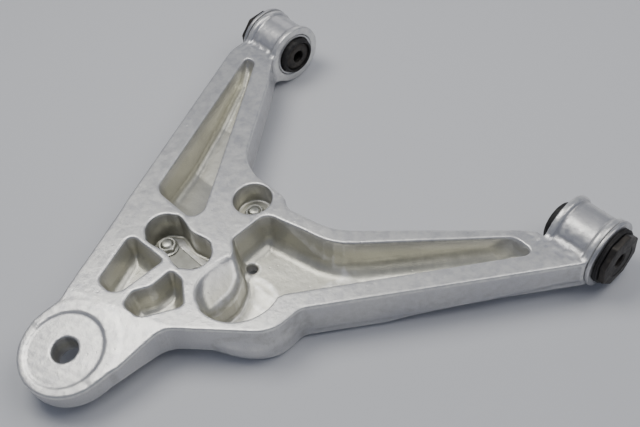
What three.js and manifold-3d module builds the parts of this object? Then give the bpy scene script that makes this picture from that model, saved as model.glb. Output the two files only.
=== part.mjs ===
// Suspension control arm: a cast A-arm with two rubber bushes, and a bracket bolted under it.
// Millimetres, +Z up. X runs along the pivot axis of the two bushes, from the rear bush to the
// front one, and the ball joint end points along -Y. While it is modelled, y = 0 and z = 0 are
// the pivot axis; the last lines move the whole arm so that it stands on z = 0.
import * as THREE from 'three';
import * as BufferGeometryUtils from 'three/addons/utils/BufferGeometryUtils.js';
import Module from 'manifold-3d';

const wasm = await Module();
wasm.setup();

// ---------------------------------------------------------------- driving dimensions
const GAP = 0.3;                    // clearance left between pieces that touch
const TOP = 14;                     // top face of the casting, above the pivot axis
const PAD_END_BOTTOM = -14;         // underside of the casting at the ball joint end
const NECK_BOTTOM = -20;            // underside of the neck behind it
const RECESS_TOP = -20;             // roof of the recess that holds the bracket, underneath
const LOWEST = -31;                 // bottom of the boss under the bowl

const EYE_R = 30;                   // rims of the bush eyes
const EYE_WAIST_R = 27.5;
const EYE_WIDTH = 43;
const EYE_BORE_R = 22;
const REAR_EYE_X = 0;               // inner face of the rear eye
const FRONT_EYE_X = 336;            // inner face of the front eye

const CAN_R = EYE_BORE_R - GAP;     // steel can pressed into the eye
const CAN_BORE_R = 19.3;
const CAN_FLANGE_R = 30.6;
const CAN_FLANGE_T = 3.4;
const RUBBER_R = CAN_BORE_R - GAP;
const RUBBER_LIP_R = 26;
const RUBBER_LIP_T = 4;
const REAR_NOSE = 5.5;              // how far the rubber stands out of the inner face
const FRONT_NOSE = 9;
const SLEEVE_R = 9;
const SLEEVE_BORE_R = 6.2;
const OUTER_WASHER_R = 24.4;        // octagon, measured over its corners
const OUTER_WASHER_T = 5.4;
const INNER_WASHER_R = 14.5;
const INNER_WASHER_T = 2.4;

const PAD_X = 125;                  // centre of the ball joint pad
const PAD_Y = -367;
const PAD_Z = 7.5;
const PAD_R = 43;
const PAD_T = 22;
const PAD_TILT = THREE.MathUtils.degToRad(8);
const PAD_TILT_HEADING = THREE.MathUtils.degToRad(-70);   // the pad leans towards this side
const BALL_HOLE_R = 11.5;
const SPOTFACE_R = 34.5;
const SPOTFACE_DEPTH = 1.2;

const BOLT_R = 5;
const BOLT_HOLE_R = 5.5;
const HEX_R = 8.7;                  // over the corners of nuts and bolt heads
const HEAD_T = 4.8;
const NUT_T = 5.6;
const NUT_FLANGE_R = 9.8;
const NUT_FLANGE_T = 1.4;
const WASHER_R = 10.5;
const WASHER_T = 1.5;
const BRACKET_T = 3.6;
const BRACKET_CORNER_R = 12;
const NUT_BAR_T = 3.6;              // bar that the two bolts of the double pocket share
const NUT_BAR_WIDTH = 16;
const DOUBLE_FLOOR = -16;           // floors of the pockets that hold the nuts
const ROUND_FLOOR = -8;
const NECK_POCKET_FLOOR = -11;
const BOLTS = [
  { name: 'left', x: 91, y: -241, seat: DOUBLE_FLOOR + GAP + NUT_BAR_T, nut: true },
  { name: 'right', x: 131, y: -241, seat: DOUBLE_FLOOR + GAP + NUT_BAR_T, nut: false },
  { name: 'round', x: 123.5, y: -165.5, seat: ROUND_FLOOR, nut: true },
];

const DOUBLE_POCKET_Y = -239;       // its two round ends
const DOUBLE_POCKET_LEFT = [91, DOUBLE_POCKET_Y, 16.7];
const DOUBLE_POCKET_RIGHT = [131, DOUBLE_POCKET_Y, 16.2];
const ROUND_POCKET = [123.5, -164.5, 17.5];
const BOWL = [183.5, -234.5, 35.5];  // deep round end of the large pocket
const BOSS = [197, -232, 42];       // round boss under the bowl
const BOSS_ROUND = 12;
const DRAIN_HOLE = [160, -203, 5];
const BRACKET_HOLE = [116, -214, 9];

// ---------------------------------------------------------------- materials
const cast = { color: 0xa9a9b0, roughness: 0.5, metalness: 0.6 };
const zinc = { color: 0xb4b4b2, roughness: 0.4, metalness: 0.9 };
const blackRubber = { color: 0x1b1a19, roughness: 0.85, metalness: 0.0 };
const darkSteel = { color: 0x2b2927, roughness: 0.6, metalness: 0.7 };

// ---------------------------------------------------------------- solids
function toSolid(geometry) {
  const bare = geometry.index ? geometry.toNonIndexed() : geometry;
  bare.deleteAttribute('normal');
  bare.deleteAttribute('uv');
  const merged = BufferGeometryUtils.mergeVertices(bare, 1e-4);
  return new wasm.Manifold(new wasm.Mesh({
    numProp: 3,
    vertProperties: new Float32Array(merged.attributes.position.array),
    triVerts: new Uint32Array(merged.index.array),
  }));
}

function toGeometry(solid) {
  const mesh = solid.getMesh();
  const geometry = new THREE.BufferGeometry();
  geometry.setAttribute('position', new THREE.BufferAttribute(mesh.vertProperties, 3));
  geometry.setIndex(new THREE.BufferAttribute(mesh.triVerts, 1));
  const flat = geometry.toNonIndexed();
  flat.computeVertexNormals();
  return flat;
}

// A closed outline through corners [x, y, radius], each corner rounded to its radius.
function outline(corners) {
  const shape = new THREE.Path();
  const count = corners.length;
  corners.forEach(([x, y, radius = 0], i) => {
    const corner = new THREE.Vector2(x, y);
    const before = new THREE.Vector2(...corners[(i + count - 1) % count]).sub(corner);
    const after = new THREE.Vector2(...corners[(i + 1) % count]).sub(corner);
    const half = Math.acos(before.clone().normalize().dot(after.clone().normalize())) / 2;
    const wanted = radius / Math.tan(half);
    const run = Math.min(wanted, before.length() * 0.49, after.length() * 0.49);
    const start = before.setLength(run).add(corner);
    const end = after.setLength(run).add(corner);
    if (i === 0) shape.moveTo(start.x, start.y);
    else shape.lineTo(start.x, start.y);
    if (run > 0.01) shape.quadraticCurveTo(corner.x, corner.y, end.x, end.y);
  });
  const points = shape.getPoints(5);
  return points.filter((point, i) => point.distanceTo(points[(i + 1) % points.length]) > 0.2);
}

function circle(x, y, radius, sides = 36) {
  const points = [];
  for (let i = 0; i < sides; i += 1) {
    const angle = (i / sides) * 2 * Math.PI;
    points.push(new THREE.Vector2(x + radius * Math.cos(angle), y + radius * Math.sin(angle)));
  }
  return points;
}

// Upright prism from z = low to z = high. With a round, its lower edge is rounded off.
function prism(points, low, high, round = 0) {
  const geometry = new THREE.ExtrudeGeometry(new THREE.Shape(points), {
    depth: high - low - round,
    bevelEnabled: round > 0,
    bevelThickness: round,
    bevelSize: round,
    bevelOffset: -round,
    bevelSegments: 3,
  });
  geometry.translate(0, 0, low + round);
  return toSolid(geometry);
}

// Block over a wide range of X, with the side outline given by its [y, z] points.
function sideBlock(points) {
  const reach = 1000;
  const shape = new THREE.Shape(points.map(([y, z]) => new THREE.Vector2(y, z)));
  const geometry = new THREE.ExtrudeGeometry(shape, { depth: reach, bevelEnabled: false });
  geometry.rotateX(Math.PI / 2).rotateZ(Math.PI / 2);
  geometry.translate(-reach / 2, 0, 0);
  return toSolid(geometry);
}

// Block over a wide range of Y, with the front outline given by its [x, z] points.
function frontBlock(points, lowY, highY) {
  const shape = new THREE.Shape(points.map(([x, z]) => new THREE.Vector2(x, z)));
  const geometry = new THREE.ExtrudeGeometry(shape, { depth: highY - lowY, bevelEnabled: false });
  geometry.rotateX(Math.PI / 2);
  geometry.translate(0, highY, 0);
  return toSolid(geometry);
}

// Turned piece about the X axis through y = z = 0, from its [x, radius] points in order.
function turned(points, sides = 36) {
  const profile = points.map(([x, radius]) => new THREE.Vector2(radius, x));
  profile.push(profile[0].clone());
  const geometry = new THREE.LatheGeometry(profile, sides);
  geometry.rotateZ(-Math.PI / 2);
  return geometry;
}

function addPiece(group, name, geometry, finish) {
  const mesh = new THREE.Mesh(geometry, new THREE.MeshStandardMaterial(finish));
  mesh.name = name;
  group.add(mesh);
  return mesh;
}

// ---------------------------------------------------------------- casting
const bodyOutline = outline([
  [84, -372], [84, -345, 30], [-43, -47, 40], [-43, 0], [0, 0],
  [0, -30, 6], [21, -55, 60], [86, -146, 60], [143, -144, 20], [154, -152, 14], [203, -142, 60],
  [318, -38, 25], [FRONT_EYE_X, -26, 8], [FRONT_EYE_X, 0], [FRONT_EYE_X + EYE_WIDTH, 0],
  [FRONT_EYE_X + EYE_WIDTH, -28, 10],
  [239, -216, 16], [238.5, -248, 30], [171.5, -304, 34], [171, -325, 40], [171, -350, 30],
  [165, -372],
]);

// Side view of the underside: shallow at the ball joint end, deep in the middle, and rising
// along the legs to the eyes.
const bodySide = [
  [-430, TOP], [-430, PAD_END_BOTTOM], [-345, PAD_END_BOTTOM], [-305, NECK_BOTTOM],
  [-284, NECK_BOTTOM], [-282, -28], [-230, -29], [-160, -29], [-147, -26], [-45, -11.5], [20, -11],
  [20, TOP],
];

function buildEye(innerX, direction) {
  const x = (step) => innerX + direction * step;
  const rim = 4.5;
  const profile = [
    [x(0), 0], [x(0), EYE_R - 1], [x(1), EYE_R], [x(rim), EYE_R], [x(rim + 3), EYE_WAIST_R],
    [x(EYE_WIDTH - rim - 3), EYE_WAIST_R], [x(EYE_WIDTH - rim), EYE_R],
    [x(EYE_WIDTH - 1), EYE_R], [x(EYE_WIDTH), EYE_R - 1], [x(EYE_WIDTH), 0],
  ];
  if (direction < 0) profile.reverse();
  return toSolid(turned(profile));
}

function eyeBore(innerX, direction) {
  const low = Math.min(innerX - direction * 5, innerX + direction * (EYE_WIDTH + 5));
  return toSolid(turned([[low, 0], [low, EYE_BORE_R], [low + EYE_WIDTH + 10, EYE_BORE_R],
    [low + EYE_WIDTH + 10, 0]]));
}

// Places a geometry built about the pad's own axis, top face at z = 0, onto the tilted pad.
function ontoPad(geometry) {
  const lean = new THREE.Vector3(-Math.sin(PAD_TILT_HEADING), Math.cos(PAD_TILT_HEADING), 0);
  const turn = new THREE.Matrix4().makeRotationAxis(lean, PAD_TILT);
  geometry.applyMatrix4(turn);
  geometry.translate(PAD_X, PAD_Y, PAD_Z);
  return toSolid(geometry);
}

function padCylinder(radius, low, high, sides = 48) {
  const geometry = new THREE.CylinderGeometry(radius, radius, high - low, sides);
  geometry.rotateX(Math.PI / 2);
  geometry.translate(0, 0, (low + high) / 2);
  return ontoPad(geometry);
}

function buildBody() {
  return prism(bodyOutline, LOWEST, TOP)
    .intersect(sideBlock(bodySide))
    .add(prism(circle(...BOSS), LOWEST, 0, BOSS_ROUND))
    .add(buildEye(REAR_EYE_X, -1))
    .add(buildEye(FRONT_EYE_X, 1));
}

const ABOVE = TOP + 10;             // cutters rise well over the top face

function neckPockets() {
  const rear = outline([[72, -262, 7], [118, -260, 4], [117, -312, 15], [92.5, -313, 11]]);
  const front = outline([
    [130, -262, 6], [145, -262, 9], [168, -278, 6], [149, -311, 11], [128, -313, 10],
    [123, -299, 8], [131, -285, 10],
  ]);
  return prism(rear, NECK_POCKET_FLOOR, ABOVE).add(prism(front, NECK_POCKET_FLOOR, ABOVE));
}

// Two round pockets run together, for the two bolts that share a bar.
function doublePocket() {
  const waist = outline([[91, -224.5], [131, -224.5], [131, -254], [91, -254]]);
  return prism(waist, DOUBLE_FLOOR, ABOVE)
    .add(prism(circle(...DOUBLE_POCKET_LEFT, 28), DOUBLE_FLOOR, ABOVE))
    .add(prism(circle(...DOUBLE_POCKET_RIGHT, 28), DOUBLE_FLOOR, ABOVE));
}

function longPocket() {
  const shape = outline([[-24, -44, 6], [-11, -43, 7], [102, -203, 14], [98, -216, 12], [49, -216, 16]]);
  const floor = [[-230, -13], [-200, -18], [-165, -20], [-110, -15], [-62, -6], [-50, 1], [-40, 9],
    [-30, ABOVE], [-230, ABOVE]];
  return prism(shape, LOWEST, ABOVE).intersect(sideBlock(floor));
}

// The shelf slopes down from the bowl's rim towards the front and ends in a steep drop.
function bowlShelf() {
  const crest = outline([
    [120, -203], [146, -206], [160, -212, 20], [177, -220, 16], [184, -238, 25], [184, -256],
    [178, -290], [120, -290],
  ]);
  const slope = [[130, ABOVE], [152, 13], [196, -7], [196, LOWEST], [130, LOWEST]];
  return prism(crest, LOWEST, ABOVE).intersect(frontBlock(slope, -300, -200));
}

function largePocket() {
  const shape = outline([
    [144, -208, 8], [144, -167, 14], [213, -154, 60], [322, -46, 10], [342, -47, 8], [219, -213, 8],
    [210, -236], [170, -236], [157, -219, 6],
  ]);
  const floor = [[-290, -25], [-240, -25], [-212, -19.5], [-200, -19], [-150, -17], [-62, -4], [-50, 4],
    [-44, 12], [-40, ABOVE], [-290, ABOVE]];
  return prism(shape, LOWEST, ABOVE)
    .add(prism(circle(...BOWL), LOWEST, ABOVE))
    .intersect(sideBlock(floor))
    .subtract(bowlShelf());
}

// The bracket's outline round its three bolts, grown by a margin.
function bracketOutline(margin) {
  const [left, right, round] = BOLTS;
  const r = BRACKET_CORNER_R + margin;
  return outline([
    [left.x - r - 6, left.y - r, r], [right.x + r, right.y - r, r], [round.x + r, round.y + r, r],
    [round.x - r, round.y + r, r],
  ]);
}

function buildCasting() {
  const slab = new THREE.BoxGeometry(600, 600, 100);
  slab.translate(0, 0, 50);
  let solid = buildBody()
    .subtract(ontoPad(slab))
    .add(padCylinder(PAD_R, -PAD_T, 0))
    .subtract(padCylinder(SPOTFACE_R, -SPOTFACE_DEPTH, 10))
    .subtract(padCylinder(BALL_HOLE_R, -60, 60, 32));
  for (const pocket of [neckPockets(), doublePocket(), longPocket(), largePocket()]) {
    solid = solid.subtract(pocket);
  }
  solid = solid.subtract(prism(circle(...ROUND_POCKET, 32), ROUND_FLOOR, ABOVE));
  solid = solid.subtract(prism(bracketOutline(1.5), LOWEST - 5, RECESS_TOP));
  for (const bolt of BOLTS) {
    solid = solid.subtract(prism(circle(bolt.x, bolt.y, BOLT_HOLE_R, 16), LOWEST - 5, ABOVE));
  }
  solid = solid.subtract(prism(circle(...DRAIN_HOLE, 16), LOWEST - 5, 0));
  solid = solid.subtract(eyeBore(REAR_EYE_X, -1)).subtract(eyeBore(FRONT_EYE_X, 1));
  return toGeometry(solid);
}

// ---------------------------------------------------------------- bushes
// Every bush piece is turned from [step, radius] points, where step runs outward from the
// inner face of its eye; direction is -1 on the rear eye and +1 on the front one.
function bushTurned(innerX, direction, points, sides = 36) {
  const profile = points.map(([step, radius]) => [innerX + direction * step, radius]);
  if (direction < 0) profile.reverse();
  return turned(profile, sides);
}

const OUTER_FACE = EYE_WIDTH + GAP;                       // where the can's flange starts
const LIP_START = OUTER_FACE + CAN_FLANGE_T + GAP;
const WASHER_START = LIP_START + RUBBER_LIP_T + GAP;
const SLEEVE_END = WASHER_START - GAP;

function buildCan(innerX, direction) {
  const end = OUTER_FACE + CAN_FLANGE_T;
  return bushTurned(innerX, direction, [
    [0.5, CAN_BORE_R], [0.5, CAN_R], [OUTER_FACE, CAN_R], [OUTER_FACE, CAN_FLANGE_R - 0.8],
    [OUTER_FACE + 0.8, CAN_FLANGE_R], [end - 0.8, CAN_FLANGE_R], [end, CAN_FLANGE_R - 0.8],
    [end, CAN_BORE_R],
  ]);
}

// Where the inner washer starts: half of it is sunk into the rubber's nose.
function innerWasherStart(nose) {
  return INNER_WASHER_T / 2 - nose;
}

function buildRubber(innerX, direction, nose) {
  const bore = SLEEVE_R + GAP;
  const seat = innerWasherStart(nose) + INNER_WASHER_T + GAP;
  return bushTurned(innerX, direction, [
    [seat, bore], [seat, INNER_WASHER_R + GAP],
    [-nose, INNER_WASHER_R + 1], [-nose + 1.5, RUBBER_R - 0.8], [0, RUBBER_R],
    [LIP_START, RUBBER_R], [LIP_START, RUBBER_LIP_R - 1], [LIP_START + 1, RUBBER_LIP_R],
    [LIP_START + RUBBER_LIP_T - 1, RUBBER_LIP_R], [LIP_START + RUBBER_LIP_T, RUBBER_LIP_R - 1],
    [LIP_START + RUBBER_LIP_T, bore],
  ]);
}

function buildSleeve(innerX, direction, nose) {
  const start = innerWasherStart(nose) + INNER_WASHER_T + GAP;
  return bushTurned(innerX, direction, [
    [start, SLEEVE_BORE_R], [start, SLEEVE_R], [SLEEVE_END, SLEEVE_R], [SLEEVE_END, SLEEVE_BORE_R],
  ], 28);
}

function buildInnerWasher(innerX, direction, nose) {
  const start = innerWasherStart(nose);
  const rim = start + INNER_WASHER_T;
  return bushTurned(innerX, direction, [
    [start, SLEEVE_BORE_R], [start, INNER_WASHER_R - 2.5],
    [start + 1, INNER_WASHER_R], [rim, INNER_WASHER_R], [rim, SLEEVE_BORE_R],
  ], 28);
}

function buildOuterWasher(innerX, direction) {
  const corners = circle(0, 0, OUTER_WASHER_R, 8);
  const shape = new THREE.Shape(corners);
  shape.holes.push(new THREE.Path(circle(0, 0, SLEEVE_BORE_R, 20)));
  const geometry = new THREE.ExtrudeGeometry(shape, { depth: OUTER_WASHER_T, bevelEnabled: false });
  geometry.rotateZ(Math.PI / 8).rotateY(Math.PI / 2);
  const outer = innerX + direction * (WASHER_START + OUTER_WASHER_T);
  geometry.translate(direction > 0 ? outer - OUTER_WASHER_T : outer, 0, 0);
  return geometry;
}

function addBush(group, side, innerX, direction, nose) {
  addPiece(group, `${side}_bush_can`, buildCan(innerX, direction), zinc);
  addPiece(group, `${side}_bush_rubber`, buildRubber(innerX, direction, nose), blackRubber);
  addPiece(group, `${side}_bush_sleeve`, buildSleeve(innerX, direction, nose), darkSteel);
  addPiece(group, `${side}_inner_washer`, buildInnerWasher(innerX, direction, nose), darkSteel);
  addPiece(group, `${side}_outer_washer`, buildOuterWasher(innerX, direction), darkSteel);
}

// ---------------------------------------------------------------- bracket and its bolts
const BRACKET_TOP = RECESS_TOP - GAP;
const BRACKET_BOTTOM = BRACKET_TOP - BRACKET_T;
const HEAD_TOP = BRACKET_BOTTOM - GAP - WASHER_T - GAP;

// Flat plate with a bolt hole at each of the bolts given.
function buildPlate(points, bolts, low, thickness, openings = []) {
  const plate = new THREE.Shape(points);
  for (const bolt of bolts) plate.holes.push(new THREE.Path(circle(bolt.x, bolt.y, BOLT_HOLE_R, 16)));
  for (const opening of openings) plate.holes.push(new THREE.Path(opening));
  const geometry = new THREE.ExtrudeGeometry(plate, { depth: thickness, bevelEnabled: false });
  geometry.translate(0, 0, low);
  return geometry;
}

function buildNutBar() {
  const [left, right] = BOLTS;
  const half = NUT_BAR_WIDTH / 2;
  const points = outline([
    [left.x - 12, left.y - half, 2], [right.x + 12, right.y - half, 2],
    [right.x + 12, right.y + half, 2], [left.x - 12, left.y + half, 2],
  ]);
  return buildPlate(points, [left, right], DOUBLE_FLOOR + GAP, NUT_BAR_T);
}

function hexagon(radius, low, high) {
  return prism(circle(0, 0, radius, 6), low, high);
}

function cylinder(radius, low, high, sides = 16) {
  return prism(circle(0, 0, radius, sides), low, high);
}

function buildBolt(tip) {
  return toGeometry(cylinder(BOLT_R, HEAD_TOP - 1, tip).add(hexagon(HEX_R, HEAD_TOP - HEAD_T, HEAD_TOP)));
}

function buildWasher(low) {
  const ring = cylinder(WASHER_R, low, low + WASHER_T, 24);
  return toGeometry(ring.subtract(cylinder(BOLT_R + GAP, low - 1, low + WASHER_T + 1)));
}

function buildNut(low) {
  return toGeometry(hexagon(HEX_R, low, low + NUT_T)
    .add(cylinder(NUT_FLANGE_R, low, low + NUT_FLANGE_T, 24))
    .subtract(cylinder(BOLT_R + GAP, low - 1, low + NUT_T + 1)));
}

function addBoltSet(group, bolt) {
  const nutLow = bolt.seat + GAP;
  const tip = bolt.nut ? nutLow + NUT_T + 1.4 : bolt.seat - 0.4;
  addPiece(group, `bracket_bolt_${bolt.name}`, buildBolt(tip), zinc).position.set(bolt.x, bolt.y, 0);
  const washer = addPiece(group, `bracket_washer_${bolt.name}`, buildWasher(HEAD_TOP + GAP), zinc);
  washer.position.set(bolt.x, bolt.y, 0);
  if (!bolt.nut) return;
  addPiece(group, `bracket_nut_${bolt.name}`, buildNut(nutLow), zinc).position.set(bolt.x, bolt.y, 0);
}

// ---------------------------------------------------------------- assembly
const arm = new THREE.Group();
addPiece(arm, 'arm_casting', buildCasting(), cast);
addBush(arm, 'rear', REAR_EYE_X, -1, REAR_NOSE);
addBush(arm, 'front', FRONT_EYE_X, 1, FRONT_NOSE);
const bracketHole = circle(...BRACKET_HOLE, 20);
const bracket = buildPlate(bracketOutline(0), BOLTS, BRACKET_BOTTOM, BRACKET_T, [bracketHole]);
addPiece(arm, 'lower_bracket', bracket, zinc);
addPiece(arm, 'nut_bar', buildNutBar(), zinc);
for (const bolt of BOLTS) addBoltSet(arm, bolt);

// The origin is at the bottom centre of the whole arm's box.
arm.updateMatrixWorld(true);
const box = new THREE.Box3().setFromObject(arm, true);
const centre = box.getCenter(new THREE.Vector3());
arm.position.set(-centre.x, -centre.y, -box.min.z);

export default arm;
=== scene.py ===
"""Suspension control arm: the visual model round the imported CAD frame.

Lengths are millimetres in the arm's own axes, as in the CAD source: X runs along the pivot axis
of the bushes with x = 0 on the rear eye's inner face, -Y points to the ball joint end, +Z is up,
and y = z = 0 is the pivot axis. ARM_ORIGIN carries them into the frame, in metres.

Castings and plates are modelled as fields of signed distance, negative inside, because fillets
between any two shapes are then one call. Bushes and fasteners are turned meshes.
"""
import math

import bpy
import numpy as np
from mathutils import Matrix, Vector


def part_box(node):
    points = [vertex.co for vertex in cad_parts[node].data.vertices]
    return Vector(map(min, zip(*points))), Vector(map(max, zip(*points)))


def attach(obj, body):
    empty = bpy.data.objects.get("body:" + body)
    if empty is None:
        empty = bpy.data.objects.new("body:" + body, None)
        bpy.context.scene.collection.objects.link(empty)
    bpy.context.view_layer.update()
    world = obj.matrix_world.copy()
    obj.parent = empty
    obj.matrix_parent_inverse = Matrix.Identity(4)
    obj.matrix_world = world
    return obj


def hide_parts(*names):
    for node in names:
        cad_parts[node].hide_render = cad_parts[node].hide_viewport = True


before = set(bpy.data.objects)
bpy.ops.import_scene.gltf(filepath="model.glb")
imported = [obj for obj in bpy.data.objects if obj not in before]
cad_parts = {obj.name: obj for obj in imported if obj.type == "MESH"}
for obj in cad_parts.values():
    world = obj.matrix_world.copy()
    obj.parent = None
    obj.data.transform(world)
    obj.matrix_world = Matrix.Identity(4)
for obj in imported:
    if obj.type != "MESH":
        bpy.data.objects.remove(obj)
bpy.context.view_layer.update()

MM = 0.001

# ---------------------------------------------------------------- sizes
GAP = 0.3
TOP = 14.0
PAD_END_BOTTOM = -14.0
NECK_BOTTOM = -20.0
RECESS_TOP = -20.0
LOWEST = -31.0

EYE_R = 30.0
EYE_WAIST_R = 27.5
EYE_WIDTH = 43.0
EYE_BORE_R = 22.0
EYES = {"rear": (0.0, -1), "front": (336.0, 1)}          # inner face, outward direction
CAN_SETBACK = 0.5
CAN_BORE_R = 19.3
CAN_FLANGE_R = 30.6
CAN_FLANGE_T = 3.4
RUBBER_R = CAN_BORE_R - GAP
RUBBER_LIP_R = 26.0
RUBBER_LIP_T = 4.0
RUBBER_NOSE = {"rear": 5.5, "front": 9.0}               # how far it stands out of the inner face
SLEEVE_R = 9.0
SLEEVE_BORE_R = 6.2
OUTER_WASHER_R = 24.4
OUTER_WASHER_T = 5.4
INNER_WASHER_R = 14.5
INNER_WASHER_T = 2.4
CAN_FLANGE_AT = EYE_WIDTH + GAP
LIP_AT = CAN_FLANGE_AT + CAN_FLANGE_T + GAP
OUTER_WASHER_AT = LIP_AT + RUBBER_LIP_T + GAP
INNER_WASHER_AT = {side: INNER_WASHER_T / 2 - nose for side, nose in RUBBER_NOSE.items()}

PAD = np.array([125.0, -367.0, 7.5])
PAD_R = 43.0
PAD_T = 22.0
PAD_TILT = math.radians(8)
PAD_HEADING = math.radians(-70)
BALL_HOLE = np.array([124.2, -369.4, 7.2])
BALL_HOLE_R = 11.5
SPOTFACE_R = 34.5                                        # machined face on the pad
SPOTFACE_DEPTH = 1.2
SPOTFACE_FILLET = 2.5

BOLT_R = 5.0
BOLT_HOLE_R = 5.5
THREAD_PITCH = 1.5
THREAD_DEPTH = 0.765
THREAD_LENGTH = 11.0
THREAD_STEP = 0.15                                       # height between the rings of a thread
HEX_R = 8.7
HEAD_T = 4.8
NUT_T = 5.6
NUT_FLANGE_R = 9.8
NUT_FLANGE_T = 1.4
WASHER_R = 10.5
WASHER_T = 1.5
BOLT_STANDS_OUT = 1.4                                    # of its nut
BRACKET_T = 3.6
BRACKET_CORNER_R = 12.0
BRACKET_EXTRA = 6.0                                      # more plate beside the left bolt
BRACKET_MARGIN = 1.5                                     # between the plate and its recess
NUT_BAR_T = 3.6
NUT_BAR_WIDTH = 16.0
NUT_BAR_END = 12.0                                       # bar past each bolt's axis
DOUBLE_FLOOR = -16.0
ROUND_FLOOR = -8.0
NECK_POCKET_FLOOR = -11.0                                # at y = NECK_POCKET_Y
NECK_POCKET_Y = -290.0
NECK_POCKET_SLOPE = 0.05
BAR_TOP = DOUBLE_FLOOR + GAP + NUT_BAR_T
BOLTS = {                                                # x, y, seat, and whether it has a nut
    "left": (91.0, -241.0, BAR_TOP, True),
    "right": (131.0, -241.0, BAR_TOP, False),
    "round": (123.5, -165.5, ROUND_FLOOR, True),
}
BOLT_HOLES = [(x, y, BOLT_HOLE_R) for x, y, _, _ in BOLTS.values()]
BRACKET_TOP = RECESS_TOP - GAP
BRACKET_BOTTOM = BRACKET_TOP - BRACKET_T
HEAD_TOP = BRACKET_BOTTOM - GAP - WASHER_T - GAP

ROUND_POCKET = (123.5, -164.5, 17.5)                     # x, y and radius, as the next five
DOUBLE_POCKET_LEFT = (91.0, -239.0, 16.7)
DOUBLE_POCKET_RIGHT = (131.0, -239.0, 16.2)
BOWL = (183.5, -234.5, 35.5)
BOSS = (197.0, -232.0, 42.0)
BRACKET_HOLE = (116.0, -214.0, 9.0)
BOSS_ROUND = 12.0

# Outlines list corners (x, y, corner radius). Floors and undersides list (y, z) along the arm.
BODY = [
    (84, -372), (84, -345, 30), (-43, -47, 40), (-43, 0), (0, 0),
    (0, -30, 6), (21, -55, 60), (86, -146, 52), (143, -144, 20), (154, -152, 14), (203, -142, 60),
    (318, -38, 25), (336, -26, 8), (336, 0), (379, 0), (379, -28, 10),
    (239, -216, 16), (238.5, -248, 30), (171.5, -304, 34), (171, -325, 40), (171, -350, 30),
    (165, -372),
]
BODY_LEAN = 0.02                                         # inward, per mm down from the top
NECK_UNDERSIDE = [(-345, PAD_END_BOTTOM), (-305, NECK_BOTTOM)]
BODY_SET_BACK = [(-270, 4), (-240, 0)]                   # y, and how far in the deep body's side is
UNDERSIDE = [(-282, -28), (-230, -29), (-160, -29), (-147, -26), (-45, -11.5), (40, -11)]
NECK_POCKET_REAR = [(72, -262, 7), (118, -260, 4), (117, -312, 14), (92.5, -313, 10)]
NECK_POCKET_FRONT = [
    (130, -262, 5), (145, -262, 8), (168, -278, 6), (149, -311, 11), (128, -313, 9),
    (123, -299, 8), (131, -285, 10),
]
LONG_POCKET = [(-24, -44, 6), (-11, -43, 7), (102, -203, 12), (98, -216, 10), (49, -216, 15)]
LONG_FLOOR = [
    (-230, -13), (-200, -18), (-165, -20), (-110, -15), (-62, -6), (-50, 1), (-40, 9), (-30, 25),
]
LARGE_POCKET = [
    (144, -208, 8), (144, -167, 13), (213, -154, 60), (322, -46, 10), (342, -47, 8),
    (219, -213, 8), (210, -236), (170, -236), (157, -219, 6),
]
LARGE_FLOOR = [
    (-290, -25), (-240, -25), (-212, -19.5), (-200, -19), (-150, -17), (-62, -4), (-50, 4),
    (-44, 12), (-40, 25),
]
SHELF_POINT = (152.0, -235.0, 13.0)                      # a point on the bowl's sloping shelf
SHELF_SLOPE = (-0.46, 0.06)                              # its rise along x and along y
SHELF_CREST = [
    (120, -206), (144, -208), (157, -214, 20), (174, -222.5, 16), (182, -238, 25), (182, -256),
    (178, -290), (120, -290),
]
DRAIN_HOLE = (160.0, -203.0, 5.0)
DOUBLE_WAIST = ((111.0, -239.2), (20.0, 14.8))           # middle, and half its length and width

_, rear_can_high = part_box("rear_bush_can")
rear_sleeve_low, rear_sleeve_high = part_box("rear_bush_sleeve")
ARM_ORIGIN = Vector((
    rear_can_high.x + CAN_SETBACK * MM,
    (rear_sleeve_low.y + rear_sleeve_high.y) / 2,
    (rear_sleeve_low.z + rear_sleeve_high.z) / 2,
))


# ---------------------------------------------------------------- fields
class Block:
    """A box of grid points, as three axes that broadcast against each other."""

    def __init__(self, axes, index=(slice(None),) * 3):
        self.axes = axes
        self.index = index
        self.x = axes[0][:, None, None]
        self.y = axes[1][None, :, None]
        self.z = axes[2][None, None, :]

    def near(self, low, high):
        """The part of the block between two corners, so that a small feature costs little."""
        index = tuple(
            slice(int(np.searchsorted(axis, a)), int(np.searchsorted(axis, b)))
            for axis, a, b in zip(self.axes, low, high)
        )
        return Block([axis[part] for axis, part in zip(self.axes, index)], index)

    def over(self, corners, margin=10.0):
        """The part of the block over an outline's corners, at every height."""
        xs, ys = [corner[0] for corner in corners], [corner[1] for corner in corners]
        heights = self.axes[2]
        return self.near((min(xs) - margin, min(ys) - margin, heights[0]),
                         (max(xs) + margin, max(ys) + margin, heights[-1] + 1))


def make_block(low, high, step):
    return Block([np.arange(a, b + step, step, dtype=np.float32) for a, b in zip(low, high)])


def common(a, b, radius):
    """Where both solids are, with the edge between them rounded."""
    u = np.maximum(a + radius, 0)
    v = np.maximum(b + radius, 0)
    return np.minimum(np.maximum(a, b), -radius) + np.sqrt(u * u + v * v)


def joined(a, b, radius):
    """Both solids together, with a fillet where they meet."""
    return -common(-a, -b, radius)


def cut(a, b, radius):
    """The first solid without the second, with the new rim rounded."""
    return common(a, -b, radius)


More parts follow.
